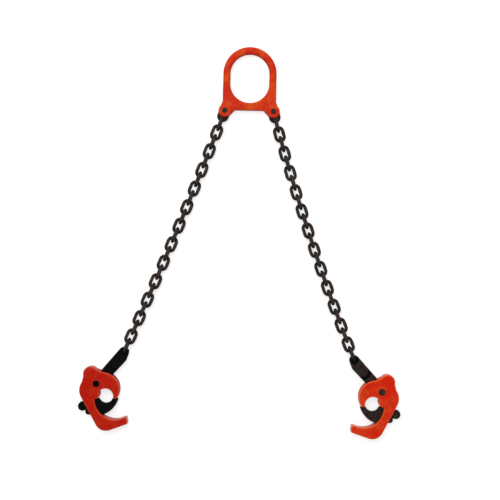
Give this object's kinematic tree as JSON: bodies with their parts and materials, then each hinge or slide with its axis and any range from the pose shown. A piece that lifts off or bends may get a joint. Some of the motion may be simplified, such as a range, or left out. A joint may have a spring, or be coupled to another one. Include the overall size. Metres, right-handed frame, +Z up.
{
  "type": "drum lifter",
  "caption": "Two-leg chain drum lifter: an oblong master ring with pinned ears carries short-link chain legs, each ending in a lever-operated jaw that grips a drum rim.",
  "frame": {"origin": "middle of the oblong eye of the master ring, in the middle plane that all pieces share", "axes": "+Y from the jaws to the crown of the ring, +Z up from the surface that the lifter lies on, +X to the right as seen from above"},
  "size_m": [0.6634, 0.7989, 0.0244],
  "materials": {
    "ring_paint": "orange-red gloss paint over a forging",
    "jaw_paint": "orange-red paint over a casting",
    "lever_black": "black, half gloss",
    "chain_steel": "dark brown-black heat-treated chain",
    "pin_steel": "dark grey riveted pin"
  },
  "bodies": {
    "ring": {"master_ring": "ring_paint", "ear_pins": "pin_steel"},
    "left_link_01": {"left_link_01": "chain_steel"},
    "left_link_02": {"left_link_02": "chain_steel"},
    "left_link_03": {"left_link_03": "chain_steel"},
    "left_link_04": {"left_link_04": "chain_steel"},
    "left_link_05": {"left_link_05": "chain_steel"},
    "left_link_06": {"left_link_06": "chain_steel"},
    "left_link_07": {"left_link_07": "chain_steel"},
    "left_link_08": {"left_link_08": "chain_steel"},
    "left_link_09": {"left_link_09": "chain_steel"},
    "left_link_10": {"left_link_10": "chain_steel"},
    "left_link_11": {"left_link_11": "chain_steel"},
    "left_link_12": {"left_link_12": "chain_steel"},
    "left_link_13": {"left_link_13": "chain_steel"},
    "left_link_14": {"left_link_14": "chain_steel"},
    "left_link_15": {"left_link_15": "chain_steel"},
    "left_link_16": {"left_link_16": "chain_steel"},
    "left_link_17": {"left_link_17": "chain_steel"},
    "left_link_18": {"left_link_18": "chain_steel"},
    "left_link_19": {"left_link_19": "chain_steel"},
    "left_link_20": {"left_link_20": "chain_steel"},
    "left_link_21": {"left_link_21": "chain_steel"},
    "left_link_22": {"left_link_22": "chain_steel"},
    "left_link_23": {"left_link_23": "chain_steel"},
    "left_link_24": {"left_link_24": "chain_steel"},
    "left_link_25": {"left_link_25": "chain_steel"},
    "left_link_26": {"left_link_26": "chain_steel"},
    "left_lever": {"left_lever": "lever_black"},
    "left_jaw": {"left_jaw": "jaw_paint", "left_pivot_pin": "pin_steel"},
    "right_link_01": {"right_link_01": "chain_steel"},
    "right_link_02": {"right_link_02": "chain_steel"},
    "right_link_03": {"right_link_03": "chain_steel"},
    "right_link_04": {"right_link_04": "chain_steel"},
    "right_link_05": {"right_link_05": "chain_steel"},
    "right_link_06": {"right_link_06": "chain_steel"},
    "right_link_07": {"right_link_07": "chain_steel"},
    "right_link_08": {"right_link_08": "chain_steel"},
    "right_link_09": {"right_link_09": "chain_steel"},
    "right_link_10": {"right_link_10": "chain_steel"},
    "right_link_11": {"right_link_11": "chain_steel"},
    "right_link_12": {"right_link_12": "chain_steel"},
    "right_link_13": {"right_link_13": "chain_steel"},
    "right_link_14": {"right_link_14": "chain_steel"},
    "right_link_15": {"right_link_15": "chain_steel"},
    "right_link_16": {"right_link_16": "chain_steel"},
    "right_link_17": {"right_link_17": "chain_steel"},
    "right_link_18": {"right_link_18": "chain_steel"},
    "right_link_19": {"right_link_19": "chain_steel"},
    "right_link_20": {"right_link_20": "chain_steel"},
    "right_link_21": {"right_link_21": "chain_steel"},
    "right_link_22": {"right_link_22": "chain_steel"},
    "right_link_23": {"right_link_23": "chain_steel"},
    "right_link_24": {"right_link_24": "chain_steel"},
    "right_link_25": {"right_link_25": "chain_steel"},
    "right_link_26": {"right_link_26": "chain_steel"},
    "right_lever": {"right_lever": "lever_black"},
    "right_jaw": {"right_jaw": "jaw_paint", "right_pivot_pin": "pin_steel"}
  },
  "joints": [
    {"name": "left_jaw_open", "type": "hinge", "parent": "left_lever", "child": "left_jaw", "pos_m": [-0.30092, -0.63334, 0], "axis": [0, 0, 1], "range_deg": [0, 35]},
    {"name": "right_jaw_open", "type": "hinge", "parent": "right_lever", "child": "right_jaw", "pos_m": [0.28622, -0.63711, 0], "axis": [0, 0, -1], "range_deg": [0, 35]},
    {"name": "left_lever_swing", "type": "hinge", "parent": "left_link_26", "child": "left_lever", "pos_m": [-0.24601, -0.56767, 0], "axis": [0, 0, 1], "range_deg": [-45, 45]},
    {"name": "right_lever_swing", "type": "hinge", "parent": "right_link_26", "child": "right_lever", "pos_m": [0.22839, -0.574, 0], "axis": [0, 0, 1], "range_deg": [-45, 45]},
    {"name": "left_leg_swing", "type": "hinge", "parent": "ring", "child": "left_link_01", "pos_m": [-0.05, -0.0676, 0], "axis": [0, 0, 1], "range_deg": [-65, 30]},
    {"name": "right_leg_swing", "type": "hinge", "parent": "ring", "child": "right_link_01", "pos_m": [0.05, -0.0676, 0], "axis": [0, 0, 1], "range_deg": [-30, 65]},
    {"name": "left_link_02_swing", "type": "hinge", "parent": "left_link_01", "child": "left_link_02", "pos_m": [-0.05664, -0.08615, 0], "axis": [0.9415, -0.3371, 0], "range_deg": [-35, 35]},
    {"name": "right_link_02_swing", "type": "hinge", "parent": "right_link_01", "child": "right_link_02", "pos_m": [0.0555, -0.08652, 0], "axis": [0.9603, 0.279, 0], "range_deg": [-35, 35]},
    {"name": "left_link_03_swing", "type": "hinge", "parent": "left_link_02", "child": "left_link_03", "pos_m": [-0.06366, -0.10562, 0], "axis": [0, 0, 1], "range_deg": [-35, 35]},
    {"name": "right_link_03_swing", "type": "hinge", "parent": "right_link_02", "child": "right_link_03", "pos_m": [0.06136, -0.10637, 0], "axis": [0, 0, 1], "range_deg": [-35, 35]},
    {"name": "left_link_04_swing", "type": "hinge", "parent": "left_link_03", "child": "left_link_04", "pos_m": [-0.07074, -0.12507, 0], "axis": [-0.9399, 0.3416, 0], "range_deg": [-35, 35]},
    {"name": "right_link_04_swing", "type": "hinge", "parent": "right_link_03", "child": "right_link_04", "pos_m": [0.06731, -0.1262, 0], "axis": [-0.9578, -0.2876, 0], "range_deg": [-35, 35]},
    {"name": "left_link_05_swing", "type": "hinge", "parent": "left_link_04", "child": "left_link_05", "pos_m": [-0.07785, -0.14451, 0], "axis": [0, 0, -1], "range_deg": [-35, 35]},
    {"name": "right_link_05_swing", "type": "hinge", "parent": "right_link_04", "child": "right_link_05", "pos_m": [0.07335, -0.14599, 0], "axis": [0, 0, -1], "range_deg": [-35, 35]},
    {"name": "left_link_06_swing", "type": "hinge", "parent": "left_link_05", "child": "left_link_06", "pos_m": [-0.08501, -0.16393, 0], "axis": [0.9382, -0.346, 0], "range_deg": [-35, 35]},
    {"name": "right_link_06_swing", "type": "hinge", "parent": "right_link_05", "child": "right_link_06", "pos_m": [0.07948, -0.16577, 0], "axis": [0.9552, 0.2961, 0], "range_deg": [-35, 35]},
    {"name": "left_link_07_swing", "type": "hinge", "parent": "left_link_06", "child": "left_link_07", "pos_m": [-0.09222, -0.18334, 0], "axis": [0, 0, 1], "range_deg": [-35, 35]},
    {"name": "right_link_07_swing", "type": "hinge", "parent": "right_link_06", "child": "right_link_07", "pos_m": [0.0857, -0.18551, 0], "axis": [0, 0, 1], "range_deg": [-35, 35]},
    {"name": "left_link_08_swing", "type": "hinge", "parent": "left_link_07", "child": "left_link_08", "pos_m": [-0.09948, -0.20272, 0], "axis": [-0.9366, 0.3505, 0], "range_deg": [-35, 35]},
    {"name": "right_link_08_swing", "type": "hinge", "parent": "right_link_07", "child": "right_link_08", "pos_m": [0.09201, -0.20523, 0], "axis": [-0.9525, -0.3046, 0], "range_deg": [-35, 35]},
    {"name": "left_link_09_swing", "type": "hinge", "parent": "left_link_08", "child": "left_link_09", "pos_m": [-0.10678, -0.22209, 0], "axis": [0, 0, -1], "range_deg": [-35, 35]},
    {"name": "right_link_09_swing", "type": "hinge", "parent": "right_link_08", "child": "right_link_09", "pos_m": [0.0984, -0.22491, 0], "axis": [0, 0, -1], "range_deg": [-35, 35]},
    {"name": "left_link_10_swing", "type": "hinge", "parent": "left_link_09", "child": "left_link_10", "pos_m": [-0.11413, -0.24145, 0], "axis": [0.9349, -0.3549, 0], "range_deg": [-35, 35]},
    {"name": "right_link_10_swing", "type": "hinge", "parent": "right_link_09", "child": "right_link_10", "pos_m": [0.10488, -0.24457, 0], "axis": [0.9497, 0.3131, 0], "range_deg": [-35, 35]},
    {"name": "left_link_11_swing", "type": "hinge", "parent": "left_link_10", "child": "left_link_11", "pos_m": [-0.12152, -0.26078, 0], "axis": [0, 0, 1], "range_deg": [-35, 35]},
    {"name": "right_link_11_swing", "type": "hinge", "parent": "right_link_10", "child": "right_link_11", "pos_m": [0.11145, -0.2642, 0], "axis": [0, 0, 1], "range_deg": [-35, 35]},
    {"name": "left_link_12_swing", "type": "hinge", "parent": "left_link_11", "child": "left_link_12", "pos_m": [-0.12896, -0.2801, 0], "axis": [-0.9332, 0.3593, 0], "range_deg": [-35, 35]},
    {"name": "right_link_12_swing", "type": "hinge", "parent": "right_link_11", "child": "right_link_12", "pos_m": [0.11811, -0.2838, 0], "axis": [-0.9469, -0.3216, 0], "range_deg": [-35, 35]},
    {"name": "left_link_13_swing", "type": "hinge", "parent": "left_link_12", "child": "left_link_13", "pos_m": [-0.13644, -0.2994, 0], "axis": [0, 0, -1], "range_deg": [-35, 35]},
    {"name": "right_link_13_swing", "type": "hinge", "parent": "right_link_12", "child": "right_link_13", "pos_m": [0.12485, -0.30337, 0], "axis": [0, 0, -1], "range_deg": [-35, 35]},
    {"name": "left_link_14_swing", "type": "hinge", "parent": "left_link_13", "child": "left_link_14", "pos_m": [-0.14397, -0.31868, 0], "axis": [0.9315, -0.3638, 0], "range_deg": [-35, 35]},
    {"name": "right_link_14_swing", "type": "hinge", "parent": "right_link_13", "child": "right_link_14", "pos_m": [0.13169, -0.32291, 0], "axis": [0.944, 0.3301, 0], "range_deg": [-35, 35]},
    {"name": "left_link_15_swing", "type": "hinge", "parent": "left_link_14", "child": "left_link_15", "pos_m": [-0.15155, -0.33794, 0], "axis": [0, 0, 1], "range_deg": [-35, 35]},
    {"name": "right_link_15_swing", "type": "hinge", "parent": "right_link_14", "child": "right_link_15", "pos_m": [0.13861, -0.34242, 0], "axis": [0, 0, 1], "range_deg": [-35, 35]},
    {"name": "left_link_16_swing", "type": "hinge", "parent": "left_link_15", "child": "left_link_16", "pos_m": [-0.15917, -0.35719, 0], "axis": [-0.9298, 0.3682, 0], "range_deg": [-35, 35]},
    {"name": "right_link_16_swing", "type": "hinge", "parent": "right_link_15", "child": "right_link_16", "pos_m": [0.14561, -0.3619, 0], "axis": [-0.941, -0.3385, 0], "range_deg": [-35, 35]},
    {"name": "left_link_17_swing", "type": "hinge", "parent": "left_link_16", "child": "left_link_17", "pos_m": [-0.16684, -0.37642, 0], "axis": [0, 0, -1], "range_deg": [-35, 35]},
    {"name": "right_link_17_swing", "type": "hinge", "parent": "right_link_16", "child": "right_link_17", "pos_m": [0.15271, -0.38135, 0], "axis": [0, 0, -1], "range_deg": [-35, 35]},
    {"name": "left_link_18_swing", "type": "hinge", "parent": "left_link_17", "child": "left_link_18", "pos_m": [-0.17455, -0.39563, 0], "axis": [0.928, -0.3726, 0], "range_deg": [-35, 35]},
    {"name": "right_link_18_swing", "type": "hinge", "parent": "right_link_17", "child": "right_link_18", "pos_m": [0.15988, -0.40076, 0], "axis": [0.9379, 0.3469, 0], "range_deg": [-35, 35]},
    {"name": "left_link_19_swing", "type": "hinge", "parent": "left_link_18", "child": "left_link_19", "pos_m": [-0.18231, -0.41482, 0], "axis": [0, 0, 1], "range_deg": [-35, 35]},
    {"name": "right_link_19_swing", "type": "hinge", "parent": "right_link_18", "child": "right_link_19", "pos_m": [0.16715, -0.42014, 0], "axis": [0, 0, 1], "range_deg": [-35, 35]},
    {"name": "left_link_20_swing", "type": "hinge", "parent": "left_link_19", "child": "left_link_20", "pos_m": [-0.19011, -0.43399, 0], "axis": [-0.9262, 0.377, 0], "range_deg": [-35, 35]},
    {"name": "right_link_20_swing", "type": "hinge", "parent": "right_link_19", "child": "right_link_20", "pos_m": [0.17451, -0.4395, 0], "axis": [-0.9348, -0.3552, 0], "range_deg": [-35, 35]},
    {"name": "left_link_21_swing", "type": "hinge", "parent": "left_link_20", "child": "left_link_21", "pos_m": [-0.19796, -0.45315, 0], "axis": [0, 0, -1], "range_deg": [-35, 35]},
    {"name": "right_link_21_swing", "type": "hinge", "parent": "right_link_20", "child": "right_link_21", "pos_m": [0.18194, -0.45881, 0], "axis": [0, 0, -1], "range_deg": [-35, 35]},
    {"name": "left_link_22_swing", "type": "hinge", "parent": "left_link_21", "child": "left_link_22", "pos_m": [-0.20585, -0.47228, 0], "axis": [0.9244, -0.3814, 0], "range_deg": [-35, 35]},
    {"name": "right_link_22_swing", "type": "hinge", "parent": "right_link_21", "child": "right_link_22", "pos_m": [0.18947, -0.47809, 0], "axis": [0.9316, 0.3636, 0], "range_deg": [-35, 35]},
    {"name": "left_link_23_swing", "type": "hinge", "parent": "left_link_22", "child": "left_link_23", "pos_m": [-0.21379, -0.4914, 0], "axis": [0, 0, 1], "range_deg": [-35, 35]},
    {"name": "right_link_23_swing", "type": "hinge", "parent": "right_link_22", "child": "right_link_23", "pos_m": [0.19708, -0.49734, 0], "axis": [0, 0, 1], "range_deg": [-35, 35]},
    {"name": "left_link_24_swing", "type": "hinge", "parent": "left_link_23", "child": "left_link_24", "pos_m": [-0.22178, -0.5105, 0], "axis": [-0.9226, 0.3858, 0], "range_deg": [-35, 35]},
    {"name": "right_link_24_swing", "type": "hinge", "parent": "right_link_23", "child": "right_link_24", "pos_m": [0.20478, -0.51656, 0], "axis": [-0.9283, -0.3719, 0], "range_deg": [-35, 35]},
    {"name": "left_link_25_swing", "type": "hinge", "parent": "left_link_24", "child": "left_link_25", "pos_m": [-0.22981, -0.52957, 0], "axis": [0, 0, -1], "range_deg": [-35, 35]},
    {"name": "right_link_25_swing", "type": "hinge", "parent": "right_link_24", "child": "right_link_25", "pos_m": [0.21257, -0.53574, 0], "axis": [0, 0, -1], "range_deg": [-35, 35]},
    {"name": "left_link_26_swing", "type": "hinge", "parent": "left_link_25", "child": "left_link_26", "pos_m": [-0.23789, -0.54863, 0], "axis": [0.9208, -0.3902, 0], "range_deg": [-35, 35]},
    {"name": "right_link_26_swing", "type": "hinge", "parent": "right_link_25", "child": "right_link_26", "pos_m": [0.22043, -0.55489, 0], "axis": [0.9249, 0.3802, 0], "range_deg": [-35, 35]}
  ]
}
